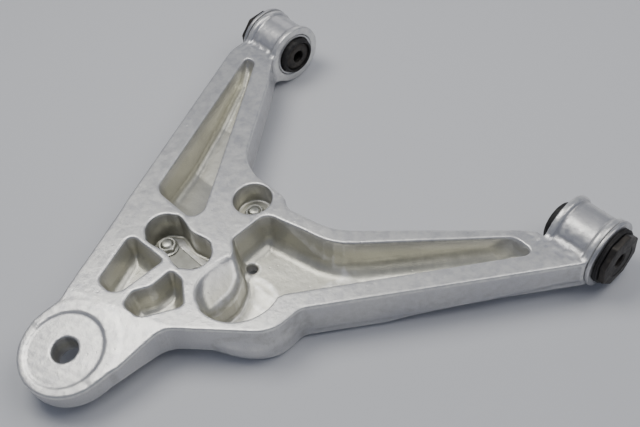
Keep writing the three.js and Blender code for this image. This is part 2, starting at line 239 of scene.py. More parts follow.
def outline(corners, arc_step=8.0):
    """Points of a closed outline through corners (x, y, radius), each rounded to its radius."""
    corners = [tuple(corner) + (0.0,) * (3 - len(corner)) for corner in corners]
    points = []
    for i, (x, y, radius) in enumerate(corners):
        corner = np.array([x, y], float)
        back = np.array(corners[i - 1][:2]) - corner
        ahead = np.array(corners[(i + 1) % len(corners)][:2]) - corner
        back_length, ahead_length = np.linalg.norm(back), np.linalg.norm(ahead)
        back, ahead = back / back_length, ahead / ahead_length
        half = math.acos(float(np.clip(back @ ahead, -1, 1))) / 2
        run = min(radius / math.tan(half), back_length * 0.49, ahead_length * 0.49)
        if run < 0.02:
            points.append(corner)
            continue
        middle = (back + ahead) / np.linalg.norm(back + ahead)
        centre = corner + middle * (run / math.cos(half))
        spoke = corner + back * run - centre
        sweep = math.pi - 2 * half
        side = 1.0 if back[0] * ahead[1] - back[1] * ahead[0] < 0 else -1.0
        steps = max(2, round(math.degrees(sweep) / arc_step))
        for k in range(steps + 1):
            turn = side * sweep * k / steps
            c, s = math.cos(turn), math.sin(turn)
            turned = np.array([c * spoke[0] - s * spoke[1], s * spoke[0] + c * spoke[1]])
            points.append(centre + turned)
    return np.array(points)


def outline_field(points, u, v):
    """Signed distance from the points (u, v) to a closed outline."""
    nearest = np.full(np.broadcast(u, v).shape, 1e9, np.float32)
    inside = np.zeros(nearest.shape, bool)
    for a, b in zip(points, np.roll(points, -1, axis=0)):
        along_u, along_v = b - a
        du, dv = u - a[0], v - a[1]
        part = np.clip((du * along_u + dv * along_v) / max(along_u ** 2 + along_v ** 2, 1e-9), 0, 1)
        nearest = np.minimum(nearest, (du - part * along_u) ** 2 + (dv - part * along_v) ** 2)
        if along_v != 0:
            inside ^= ((a[1] > v) != (b[1] > v)) & (u < a[0] + (v - a[1]) * along_u / along_v)
    return np.where(inside, -1, 1).astype(np.float32) * np.sqrt(nearest)


def disc_field(block, x, y, radius):
    return np.sqrt((block.x - x) ** 2 + (block.y - y) ** 2) - radius


def lumps(block, cell, seed):
    """Smooth random relief between -1 and 1, with lumps about cell mm across, from its own seed."""
    rng = np.random.default_rng(seed)
    values = rng.uniform(-1, 1, [int((axis[-1] - axis[0]) / cell) + 3 for axis in block.axes])
    values = values.astype(np.float32)
    for i, axis in enumerate(block.axes):
        place = (axis - axis[0]) / cell
        base = place.astype(int)
        part = place - base
        shape = [1, 1, 1]
        shape[i] = len(axis)
        part = (part * part * (3 - 2 * part)).astype(np.float32).reshape(shape)
        below, above = np.take(values, base, axis=i), np.take(values, base + 1, axis=i)
        values = below * (1 - part) + above * part
    return values


def blurred(field, reach):
    """The field averaged over a cube of 2 * reach + 1 points a side."""
    for axis in range(3):
        total = sum(np.roll(field, shift, axis) for shift in range(-reach, reach + 1))
        field = total / (2 * reach + 1)
    return field


def surface(field, block):
    """Vertices and quads of the field's zero surface, with one vertex in each cell it crosses."""
    inside = field < 0
    steps = [(i, j, k) for i in (0, 1) for j in (0, 1) for k in (0, 1)]
    shape = tuple(n - 1 for n in field.shape)
    count = np.zeros(shape, np.uint8)
    for i, j, k in steps:
        count += inside[i:i + shape[0], j:j + shape[1], k:k + shape[2]]
    cells = np.argwhere((count > 0) & (count < 8))
    number = np.full(shape, -1, np.int32)
    number[tuple(cells.T)] = np.arange(len(cells))
    corner = {s: field[tuple((cells + s).T)] for s in steps}
    total = np.zeros((len(cells), 3))
    crossings = np.zeros(len(cells))
    for axis in range(3):
        for s in steps:
            if s[axis]:
                continue
            t = tuple(1 if i == axis else s[i] for i in range(3))
            a, b = corner[s], corner[t]
            crossed = (a < 0) != (b < 0)
            point = np.tile(np.array(s, float), (len(cells), 1))
            point[:, axis] += np.where(crossed, a / np.where(crossed, a - b, 1), 0)
            total += point * crossed[:, None]
            crossings += crossed
    spacing = block.axes[0][1] - block.axes[0][0]
    low = np.array([axis[0] for axis in block.axes])
    vertices = low + spacing * (cells + total / crossings[:, None])
    quads = []
    for axis in range(3):
        u, v = (axis + 1) % 3, (axis + 2) % 3
        here = [slice(1, -1)] * 3
        here[axis] = slice(0, -1)
        there = list(here)
        there[axis] = slice(1, None)
        edges = np.argwhere(inside[tuple(here)] != inside[tuple(there)])
        edges[:, u] += 1
        edges[:, v] += 1
        leaves = inside[tuple(edges.T)]
        ring = []
        for du, dv in ((0, 0), (-1, 0), (-1, -1), (0, -1)):
            cell = edges.copy()
            cell[:, u] += du
            cell[:, v] += dv
            ring.append(number[tuple(cell.T)])
        quad = np.stack(ring, axis=1)
        quad[~leaves] = quad[~leaves][:, ::-1]
        quads.append(quad)
    return vertices, np.concatenate(quads)


def sample(field, block, points):
    """The field at any points inside the block, by linear interpolation."""
    place = (points - [axis[0] for axis in block.axes]) / (block.axes[0][1] - block.axes[0][0])
    base = np.clip(place.astype(int), 0, np.array(field.shape) - 2)
    part = place - base
    total = np.zeros(len(points))
    for corner in np.ndindex(2, 2, 2):
        share = np.prod(np.where(corner, part, 1 - part), axis=1)
        total += share * field[tuple((base + corner).T)]
    return total


def settle(points, field, block):
    """Moves points that are near the zero surface onto it, along the field's slope."""
    reach = 0.5 * (block.axes[0][1] - block.axes[0][0])
    slope = np.stack([
        sample(field, block, points + reach * way) - sample(field, block, points - reach * way)
        for way in np.eye(3)
    ], axis=1) / (2 * reach)
    steepness = np.maximum(np.sum(slope * slope, axis=1), 0.2)
    move = sample(field, block, points) / steepness
    return points - np.clip(move, -reach, reach)[:, None] * slope


# ---------------------------------------------------------------- casting
CAST_STEP = 1.1
CAST_LOW = (-47.0, -414.0, -34.0)
CAST_HIGH = (380.0, 35.0, 34.0)
RIM_ROUND = 1.3
EDGE_ROUND = 1.6
NECK_EDGE = 3.0
BODY_EDGE = 4.0
STEP_EDGE = 9.0
PAD_EDGE = 2.0
PAD_TOP_ROUND = 1.4
EYE_EDGE = 0.8
HOLE_EDGE = 0.6
RECESS_EDGE = 1.5
STEP_FILLET = 2.5                                        # where the deep body meets the neck
BOSS_FILLET = 6.0
PAD_FILLET = 4.0
EYE_FILLET = 4.5
CASTING_CLEARANCE = 0.2                                  # of the skin above the CAD's lowest plane
FULL_TINT_DEPTH = 14.0                                   # where the painted warm bounce-light tint of the pockets is complete
SKIN_RELIEF = [(0.09, 17.0, 3), (0.05, 5.0, 5)]          # height, size across, random seed
EYE_RELIEF = (0.4, 3.4, 9)                               # the same, near the eyes
EYE_NEIGHBOURHOOD = ((-9.0, -62.0), (9.0, 36.0))         # x past the eye's ends, and y
NECK_WALLS = (13, 7.0)                                   # draft in degrees, and floor fillet
LONG_WALLS = (9, 7.0)
LARGE_WALLS = (10, 10.0)
BOWL_WALLS = (3, 9.0)
DOUBLE_WALLS = (1.5, 1.5)
ROUND_WALLS = (1.5, 2.0)
DOUBLE_WAIST_FILLET = 8.0
BOWL_FILLET = 2.0                                        # between the leg's pocket and the bowl
SHELF_FILLET = 11.0                                      # between the shelf and the bowl's wall
SHELF_TOE_FILLET = 4.0
SHELF_CREST_ROUND = 6.0
SHELF_DROP_LEAN = 0.06                                   # per mm down from the shelf
BEND_SCALE = 0.12                                        # of the grid step, for the sharpest edges
PAD_AXIS = np.array([
    math.sin(PAD_TILT) * math.cos(PAD_HEADING), math.sin(PAD_TILT) * math.sin(PAD_HEADING),
    math.cos(PAD_TILT),
])


def pad_fields(block, centre):
    """Height above the pad's face, and distance out from the pad's axis through a centre."""
    dx, dy, dz = block.x - centre[0], block.y - centre[1], block.z - centre[2]
    height = dx * PAD_AXIS[0] + dy * PAD_AXIS[1] + dz * PAD_AXIS[2]
    return height, np.sqrt(np.maximum(dx * dx + dy * dy + dz * dz - height * height, 0))


def eye_block(block, inner_x, direction):
    """The part of the block round an eye and the end of its leg, and the x of the eye's middle."""
    ends = sorted((inner_x, inner_x + direction * EYE_WIDTH))
    (low_x, low_y), (high_x, high_y) = EYE_NEIGHBOURHOOD
    near = block.near((ends[0] + low_x, low_y, CAST_LOW[2]),
                      (ends[1] + high_x, high_y, CAST_HIGH[2]))
    return near, sum(ends) / 2


def eye_field(block, middle):
    """A spool: a barrel with a raised rim at each end."""
    rim, shoulder = 5.0, 2.5
    from_middle = np.abs(block.x - middle)
    rim_share = np.clip((from_middle - EYE_WIDTH / 2 + rim + shoulder) / shoulder, 0, 1)
    rim_share = rim_share * rim_share * (3 - 2 * rim_share)
    radius = EYE_WAIST_R + (EYE_R - EYE_WAIST_R) * rim_share
    return common(np.sqrt(block.y ** 2 + block.z ** 2) - radius, from_middle - EYE_WIDTH / 2, 1.2)


def solid_casting(block):
    """The casting before its pockets and holes.

    The neck is shallow, and the deeper body starts behind it, set back from the neck's edge.
    """
    plan = outline_field(outline(BODY), block.x, block.y)
    height, out = pad_fields(block, PAD)
    top = np.maximum(block.z - TOP, height)
    neck_bottom = np.interp(block.y, *zip(*NECK_UNDERSIDE)).astype(np.float32)
    upper = common(plan + BODY_LEAN * (TOP - block.z), neck_bottom - block.z, NECK_EDGE)
    underside = np.interp(block.y, *zip(*UNDERSIDE)).astype(np.float32) - block.z
    set_back = np.interp(block.y, *zip(*BODY_SET_BACK)).astype(np.float32)
    step = UNDERSIDE[0][0] - 2 - block.y
    lower = common(common(plan + set_back, underside, BODY_EDGE), step, STEP_EDGE)
    field = joined(upper, lower, STEP_FILLET)
    above_lowest = LOWEST + CASTING_CLEARANCE - block.z
    boss = common(disc_field(block, *BOSS), np.maximum(above_lowest, block.z), BOSS_ROUND)
    field = np.maximum(joined(field, boss, BOSS_FILLET), above_lowest)
    field = common(field, top, EDGE_ROUND)
    pad = common(out - PAD_R, np.abs(height + PAD_T / 2) - PAD_T / 2, PAD_EDGE)
    field = common(joined(field, pad, PAD_FILLET), top, PAD_TOP_ROUND)
    for inner_x, direction in EYES.values():
        near, middle = eye_block(block, inner_x, direction)
        part = joined(field[near.index], eye_field(near, middle), EYE_FILLET)
        face = np.abs(near.x - middle) - EYE_WIDTH / 2 + 0 * near.y
        beside = np.sqrt(near.y ** 2 + near.z ** 2) < EYE_R + 2
        field[near.index] = np.where(beside, common(part, face, EYE_EDGE), part)
    return field


def pocket(block, wall, floor, draft, fillet):
    """A pocket open upwards: its walls lean in with depth and turn into its floor in a fillet."""
    lean = math.tan(math.radians(draft)) * (TOP - block.z)
    return common(wall + lean, floor - block.z, fillet)


def cut_pocket(field, near, void, rim=RIM_ROUND):
    """Takes a void out of the field, in the part of the block that is near it."""
    field[near.index] = cut(field[near.index], void, rim)


def cut_neck_pockets(field, block):
    for corners in (NECK_POCKET_REAR, NECK_POCKET_FRONT):
        near = block.over(corners)
        wall = outline_field(outline(corners), near.x, near.y)
        floor = NECK_POCKET_FLOOR + NECK_POCKET_SLOPE * (near.y - NECK_POCKET_Y)
        cut_pocket(field, near, pocket(near, wall, floor, *NECK_WALLS))


def cut_double_pocket(field, block):
    """Two round lobes, joined by a waist with filleted corners."""
    left, right = DOUBLE_POCKET_LEFT, DOUBLE_POCKET_RIGHT
    near = block.over([left, right], left[2] + 10)
    (x, y), (half_length, half_width) = DOUBLE_WAIST
    waist = np.maximum(np.abs(near.x - x) - half_length, np.abs(near.y - y) - half_width)
    wall = joined(disc_field(near, *left), waist, DOUBLE_WAIST_FILLET)
    wall = joined(wall, disc_field(near, *right), DOUBLE_WAIST_FILLET)
    cut_pocket(field, near, pocket(near, wall, DOUBLE_FLOOR, *DOUBLE_WALLS))


def cut_round_pocket(field, block):
    near = block.over([ROUND_POCKET], ROUND_POCKET[2] + 10)
    wall = disc_field(near, *ROUND_POCKET)
    cut_pocket(field, near, pocket(near, wall, ROUND_FLOOR, *ROUND_WALLS))


def cut_long_pocket(field, block):
    near = block.over(LONG_POCKET)
    floor = np.interp(near.y, *zip(*LONG_FLOOR)).astype(np.float32)
    wall = outline_field(outline(LONG_POCKET), near.x, near.y)
    cut_pocket(field, near, pocket(near, wall, floor, *LONG_WALLS))


def cut_large_pocket(field, block):
    """The front leg's pocket and the round bowl at its end, less the shelf left in the bowl."""
    near = block.over(LARGE_POCKET + [(BOWL[0], BOWL[1] - BOWL[2])])
    floor = np.interp(near.y, *zip(*LARGE_FLOOR)).astype(np.float32)
    leg_wall = outline_field(outline(LARGE_POCKET), near.x, near.y)
    leg = pocket(near, leg_wall, floor, *LARGE_WALLS)
    bowl = pocket(near, disc_field(near, *BOWL), floor, *BOWL_WALLS)
    room = joined(leg, bowl, BOWL_FILLET)
    (x, y, z), (rise_x, rise_y) = SHELF_POINT, SHELF_SLOPE
    shelf_top = z + rise_x * (near.x - x) + rise_y * (near.y - y)
    above_shelf = (shelf_top - near.z) / math.hypot(1, rise_x, rise_y)
    crest = outline_field(outline(SHELF_CREST), near.x, near.y)
    past_crest = -(crest + SHELF_DROP_LEAN * (near.z - shelf_top))
    over_shelf = common(room, above_shelf, SHELF_FILLET)
    beside_shelf = common(room, past_crest, SHELF_TOE_FILLET)
    cut_pocket(field, near, joined(over_shelf, beside_shelf, SHELF_CREST_ROUND))


def roughen(field, block):
    """The waviness of a sand-cast skin, stronger on the top of the legs' ends at the eyes."""
    (broad, broad_size, broad_seed), (fine, fine_size, fine_seed) = SKIN_RELIEF
    field += broad * lumps(block, broad_size, broad_seed)
    field += fine * lumps(block, fine_size, fine_seed)
    height, size, seed = EYE_RELIEF
    ends = np.exp(-((block.y + EYE_R) / 14) ** 2) * np.exp(-((block.z - 16) / 12) ** 2)
    field += height * ends * lumps(block, size, seed)


def bracket_corners(margin):
    """The bracket's outline round its three bolts, grown by a margin."""
    left, right, lone = BOLTS["left"], BOLTS["right"], BOLTS["round"]
    r = BRACKET_CORNER_R + margin
    return [
        (left[0] - r - BRACKET_EXTRA, left[1] - r, r), (right[0] + r, right[1] - r, r),
        (lone[0] + r, lone[1] + r, r), (lone[0] - r, lone[1] + r, r),
    ]


def machine(field, block):
    """The cuts made after casting: pad, ball joint hole, eye bores, bolt holes, bracket recess."""
    near = block.near(PAD - 60, PAD + 60)
    height, out = pad_fields(near, BALL_HOLE)
    spotface = common(out - SPOTFACE_R, -SPOTFACE_DEPTH - height, SPOTFACE_FILLET)
    cut_pocket(field, near, spotface, 1.0)
    cut_pocket(field, near, out - BALL_HOLE_R + 0 * height, EYE_EDGE)
    for inner_x, direction in EYES.values():
        near, _ = eye_block(block, inner_x, direction)
        bore = np.sqrt(near.y ** 2 + near.z ** 2) - EYE_BORE_R + 0 * near.x
        cut_pocket(field, near, bore, HOLE_EDGE)
    for x, y, radius in BOLT_HOLES + [DRAIN_HOLE]:
        near = block.over([(x, y)])
        cut_pocket(field, near, disc_field(near, x, y, radius) + 0 * near.z, HOLE_EDGE)
    recess = bracket_corners(BRACKET_MARGIN)
    near = block.over(recess)
    wall = outline_field(outline(recess), near.x, near.y)
    cut_pocket(field, near, np.maximum(wall, near.z - RECESS_TOP), RECESS_EDGE)


def build_casting(material):
    """The casting's skin, with its depth below the top and its bend stored for the paint."""
    block = make_block(CAST_LOW, CAST_HIGH, CAST_STEP)
    field = solid_casting(block)
    uncut = field.copy()
    for cut_one in (cut_neck_pockets, cut_double_pocket, cut_round_pocket, cut_long_pocket,
                    cut_large_pocket):
        cut_one(field, block)
    roughen(field, block)
    machine(field, block)
    vertices, quads = surface(field, block)
    vertices = settle(vertices, field, block)
    obj = mesh_object("arm_casting_skin", vertices, quads)
    depth = np.clip(-sample(uncut, block, vertices) / FULL_TINT_DEPTH, 0, 1)
    bend = sample(blurred(field, 2), block, vertices) / (BEND_SCALE * CAST_STEP)
    add_attribute(obj, "pocket_depth", depth)
    add_attribute(obj, "bend", np.clip(0.5 + 0.5 * bend, 0, 1))
    place(obj, "arm", "arm_casting", material, "painted_casting")


# ---------------------------------------------------------------- meshes
def mesh_object(name, points, faces, sharp=None):
    """A mesh from points in mm and faces of one size; edges past the sharp angle stay hard."""
    mesh = bpy.data.meshes.new(name)
    points = np.asarray(points) * MM + np.array(ARM_ORIGIN)
    faces = np.asarray(faces, np.int32)
    mesh.vertices.add(len(points))
    mesh.vertices.foreach_set("co", points.astype(np.float32).ravel())
    mesh.loops.add(faces.size)
    mesh.loops.foreach_set("vertex_index", faces.ravel())
    mesh.polygons.add(len(faces))
    starts = np.arange(0, faces.size, faces.shape[1], dtype=np.int32)
    mesh.polygons.foreach_set("loop_start", starts)
    mesh.polygons.foreach_set("use_smooth", np.ones(len(faces), bool))
    mesh.update(calc_edges=True)
    mesh.validate()
    if sharp:
        mesh.set_sharp_from_angle(angle=math.radians(sharp))
    obj = bpy.data.objects.new(name, mesh)
    bpy.context.scene.collection.objects.link(obj)
    return obj


def add_attribute(obj, name, values):
    attribute = obj.data.attributes.new(name, "FLOAT", "POINT")
    attribute.data.foreach_set("value", values.astype(np.float32))


def place(obj, body, node, material, slot_name):
    """Puts a piece on its body in place of its CAD node, with its finish."""
    obj.data.materials.clear()
    obj.data.materials.append(material)
    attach(obj, body)
    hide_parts(node)


def ring_faces(rings, sides, closed):
    """Quads between successive rings of points; closed also joins the last ring to the first."""
    faces = []
    for i in range(rings if closed else rings - 1):
        a, b = i * sides, ((i + 1) % rings) * sides
        for k in range(sides):
            n = (k + 1) % sides
            faces.append((a + k, a + n, b + n, b + k))
    return np.array(faces)


def around(sides):
    """Equally spaced angles round a full turn."""
    return np.arange(sides) / sides * 2 * math.pi


def pivot_ring(side, step, radii, angle):
    """Points round the pivot axis, at a step outward from the inner face of an eye."""
    inner_x, direction = EYES[side]
    x = np.full(len(angle), inner_x + direction * step)
    return np.stack([x, radii * np.cos(angle), radii * np.sin(angle)], axis=1)


def turned_bush(name, side, corners, sides=120, wobble=None):
    """A piece turned about the pivot axis from (step, radius, round) corners of its section."""
    direction = EYES[side][1]
    section = outline(corners, arc_step=15.0)
    angle = around(sides)
    points = []
    for step, radius in section:
        radii = radius + (wobble(step, radius, angle) if wobble else 0 * angle)
        points.append(pivot_ring(side, step, radii, angle))
    faces = ring_faces(len(section), sides, closed=True)
    u, v = section, np.roll(section, -1, axis=0)
    clockwise = np.sum(u[:, 0] * v[:, 1] - v[:, 0] * u[:, 1]) < 0
    if clockwise != (direction > 0):
        faces = faces[:, ::-1]
    return mesh_object(name, np.concatenate(points), faces, sharp=40)


def many_sided(corner_count, corner_radius, angle):
    """Radius of a regular outline with flat sides, at each angle."""
    half = math.pi / corner_count
    return corner_radius * math.cos(half) / np.cos((angle % (2 * half)) - half)


def stacked(name, x, y, rings, sides, sharp=30, closed=False):
    """An upright piece from rings (z, radii), capped at both ends or closed on itself."""
    angle = around(sides)
    points = np.concatenate([
        np.stack([x + radii * np.cos(angle), y + radii * np.sin(angle), np.full(sides, z)], axis=1)
        for z, radii in rings
    ])
    return mesh_object(name, points, ring_faces(len(rings), sides, closed), sharp=sharp)


# ---------------------------------------------------------------- bushes
def build_can(side):
    end = CAN_FLANGE_AT + CAN_FLANGE_T
    return turned_bush(f"{side}_bush_can_fine", side, [
        (CAN_SETBACK, CAN_BORE_R, 0.8), (CAN_SETBACK, EYE_BORE_R - GAP, 0.5),
        (CAN_FLANGE_AT, EYE_BORE_R - GAP), (CAN_FLANGE_AT, CAN_FLANGE_R, 0.9),
        (end, CAN_FLANGE_R, 1.2), (end, CAN_BORE_R, 0.8),
    ])


def build_rubber(side):
    bore = SLEEVE_R + GAP
    nose = -RUBBER_NOSE[side]
    seat = INNER_WASHER_AT[side] + INNER_WASHER_T + GAP
    end = LIP_AT + RUBBER_LIP_T

    def wobble(step, radius, angle):
        """Moulding unevenness, on the outside only."""
        if radius <= RUBBER_R - 2:
            return 0 * angle
        return 0.12 * np.sin(3 * angle + step) + 0.08 * np.sin(7 * angle + 2)

    return turned_bush(f"{side}_bush_rubber_fine", side, [
        (seat, bore, 0.3), (seat, INNER_WASHER_R + GAP, 0.4), (nose, INNER_WASHER_R + 1, 0.5),
        (nose + 1.4, RUBBER_R - 0.9, 1.2), (nose + 4.2, RUBBER_R - 0.3, 1.0),
        (0.2, RUBBER_R - 0.5, 1.0),
        (1.4, RUBBER_R - 0.2, 0.5), (LIP_AT, RUBBER_R - 0.2, 0.5),
        (LIP_AT, RUBBER_LIP_R - 0.4, 1.2), (LIP_AT + 1.8, RUBBER_LIP_R - 0.9, 0.6),
        (end - 0.1, RUBBER_LIP_R - 0.3, 1.2), (end, bore, 0.3),
    ], wobble=wobble)


def build_sleeve(side):
    start = INNER_WASHER_AT[side] + INNER_WASHER_T + GAP
    end = OUTER_WASHER_AT - GAP
    return turned_bush(f"{side}_bush_sleeve_fine", side, [
        (start, SLEEVE_BORE_R, 0.5), (start, SLEEVE_R, 0.5), (end, SLEEVE_R, 0.5),
        (end, SLEEVE_BORE_R, 0.5),
    ], sides=72)


def build_inner_washer(side):
    start = INNER_WASHER_AT[side]
    rim = start + INNER_WASHER_T
    return turned_bush(f"{side}_inner_washer_fine", side, [
        (start, SLEEVE_BORE_R, 0.7), (start, INNER_WASHER_R - 3.2, 1.6),
        (start + 1.2, INNER_WASHER_R - 0.2, 0.6), (rim, INNER_WASHER_R, 0.5),
        (rim, SLEEVE_BORE_R, 0.4),
    ], sides=96)


def build_outer_washer(side):
    """An octagonal washer with turned corners and a chamfered bolt hole."""
    sides = 160
    angle = around(sides)
    flat = np.minimum(many_sided(8, OUTER_WASHER_R, angle), OUTER_WASHER_R - 0.25)
    low, high = OUTER_WASHER_AT, OUTER_WASHER_AT + OUTER_WASHER_T
    dish_r = 15.5
    rings = [
        (low, np.full(sides, SLEEVE_BORE_R)), (low, flat - 0.7), (low + 0.5, flat),
        (high - 1.1, flat), (high - 0.3, flat - 0.35), (high, flat - 1.2),
        (high, np.full(sides, dish_r)), (high - 0.5, np.full(sides, dish_r - 0.5)),
        (high - 0.5, np.full(sides, SLEEVE_BORE_R + 1.3)),
        (high - 1.6, np.full(sides, SLEEVE_BORE_R)),
    ]
    turn = angle + math.pi / 8
    points = np.concatenate([pivot_ring(side, step, radii, turn) for step, radii in rings])
    faces = ring_faces(len(rings), sides, closed=True)
    if EYES[side][1] > 0:
        faces = faces[:, ::-1]
    return mesh_object(f"{side}_outer_washer_fine", points, faces, sharp=25)


def build_bushes(finishes):
    for side in EYES:
        core, dark = f"{side}_bush_core", finishes["dark"]
        place(build_can(side), "arm", f"{side}_bush_can", finishes["can"], "bush_can")
        place(build_rubber(side), "arm", f"{side}_bush_rubber", finishes["rubber"], "bush_rubber")
        place(build_sleeve(side), core, f"{side}_bush_sleeve", dark, "dark_steel")
        place(build_inner_washer(side), core, f"{side}_inner_washer", dark, "dark_steel")
        place(build_outer_washer(side), core, f"{side}_outer_washer", dark, "dark_steel")


# ---------------------------------------------------------------- bracket, bar and fasteners
FASTENER_SIDES = 96
HEX_FLAT_R = HEX_R * math.cos(math.pi / 6)


def thread_radius(z, angle):
    """Radius of a screw thread's surface at a height, for each angle."""
    phase = (z / THREAD_PITCH - angle / (2 * math.pi)) % 1.0
    return BOLT_R - THREAD_DEPTH * (1 - np.abs(2 * phase - 1))


def build_bolt(name, x, y, tip):
    """A hexagon head bolt: chamfered head below, plain shank, and thread up to a chamfered tip."""
    sides = FASTENER_SIDES
    angle = around(sides)
    hexagon = many_sided(6, HEX_R, angle)
    bottom = HEAD_TOP - HEAD_T
    rings = [(bottom, np.full(sides, 0.02)), (bottom, np.minimum(hexagon, HEX_FLAT_R - 0.3))]
    for rise in (0.2, 0.5, 0.9, 1.4):
        rings.append((bottom + rise, np.minimum(hexagon, HEX_FLAT_R - 0.3 + rise * 1.4)))
    thread_start = tip - THREAD_LENGTH
    shank = np.full(sides, BOLT_R)
    rings += [(HEAD_TOP - 0.2, hexagon), (HEAD_TOP, hexagon - 0.3), (HEAD_TOP, shank),
              (thread_start, shank)]
    for z in np.arange(thread_start + THREAD_STEP, tip - 0.1, THREAD_STEP):
        chamfer = BOLT_R - max(0.0, z - (tip - 1.0)) * 1.1
        rings.append((z, np.minimum(thread_radius(z, angle), chamfer)))
    rings += [(tip, np.full(sides, BOLT_R - 1.3)), (tip, np.full(sides, 0.02))]
    return stacked(name, x, y, rings, sides, sharp=35)


def build_nut(name, x, y, low):
    """A hexagon nut with a turned flange and chamfered corners."""
    sides = FASTENER_SIDES
    hexagon = many_sided(6, HEX_R, around(sides))
    bore = np.full(sides, BOLT_R + GAP)
    flange = np.full(sides, NUT_FLANGE_R)
    high = low + NUT_T
    rings = [
        (low, bore), (low, flange - 0.3), (low + 0.3, flange),
        (low + NUT_FLANGE_T - 0.4, flange - 0.1),
        (low + NUT_FLANGE_T, np.maximum(hexagon, HEX_FLAT_R + 0.6) + 0.05),
        (low + NUT_FLANGE_T + 0.3, hexagon),
    ]
    for drop in (1.2, 0.8, 0.4, 0.15, 0.0):
        rings.append((high - drop, np.minimum(hexagon, HEX_FLAT_R - 0.25 + drop * 1.4)))
    rings += [(high, bore + 0.8), (high - 0.8, bore)]
    return stacked(name, x, y, rings, sides, closed=True)


def build_bolt_washer(name, x, y, low):
    sides = FASTENER_SIDES
    bore, rim = np.full(sides, BOLT_R + GAP), np.full(sides, WASHER_R)
    high = low + WASHER_T
    rings = [
        (low, bore), (low, rim - 0.3), (low + 0.25, rim),
        (high - 0.4, rim), (high, rim - 0.5), (high, bore),
    ]
    return stacked(name, x, y, rings, sides, closed=True)


def build_plate(name, points, low, thickness, holes, edge, step=0.7):
    """A flat plate with rounded edges and round holes (x, y, radius)."""
    margin = 3.0
    corner_low = np.append(points.min(axis=0), low) - margin
    corner_high = np.append(points.max(axis=0), low + thickness) + margin
    block = make_block(corner_low, corner_high, step)
    slab = np.abs(block.z - low - thickness / 2) - thickness / 2
    field = common(outline_field(points, block.x, block.y) + 0 * block.z, slab, edge)
    for x, y, radius in holes:
        field = cut(field, disc_field(block, x, y, radius) + 0 * block.z, 0.5)
    vertices, quads = surface(field, block)
    return mesh_object(name, vertices, quads)


def build_fasteners(finishes):
    steel, plate = finishes["fastener"], finishes["plate"]
    bracket = build_plate("lower_bracket_fine", outline(bracket_corners(0)), BRACKET_BOTTOM,
                          BRACKET_T, BOLT_HOLES + [BRACKET_HOLE], 1.0)
    place(bracket, "arm", "lower_bracket", plate, "bracket_steel")
    left, right, half = BOLTS["left"], BOLTS["right"], NUT_BAR_WIDTH / 2
    start, end = left[0] - NUT_BAR_END, right[0] + NUT_BAR_END
    bar_corners = [
        (start, left[1] - half, 2), (end, right[1] - half, 2),
        (end, right[1] + half, 2), (start, left[1] + half, 2),
    ]
    bar = build_plate("nut_bar_fine", outline(bar_corners), DOUBLE_FLOOR + GAP, NUT_BAR_T,
                      BOLT_HOLES[:2], 0.6, step=0.5)
    place(bar, "arm", "nut_bar", plate, "painted_fastener")
    for name, (x, y, seat, has_nut) in BOLTS.items():
        nut_low = seat + GAP
        tip = nut_low + NUT_T + BOLT_STANDS_OUT if has_nut else seat - 0.4
        bolt = build_bolt(f"bracket_bolt_{name}_fine", x, y, tip)
        place(bolt, "arm", f"bracket_bolt_{name}", steel, "painted_fastener")
        washer = build_bolt_washer(f"bracket_washer_{name}_fine", x, y, HEAD_TOP + GAP)
        place(washer, "arm", f"bracket_washer_{name}", steel, "painted_fastener")
        if has_nut:
            nut = build_nut(f"bracket_nut_{name}_fine", x, y, nut_low)
            place(nut, "arm", f"bracket_nut_{name}", steel, "painted_fastener")


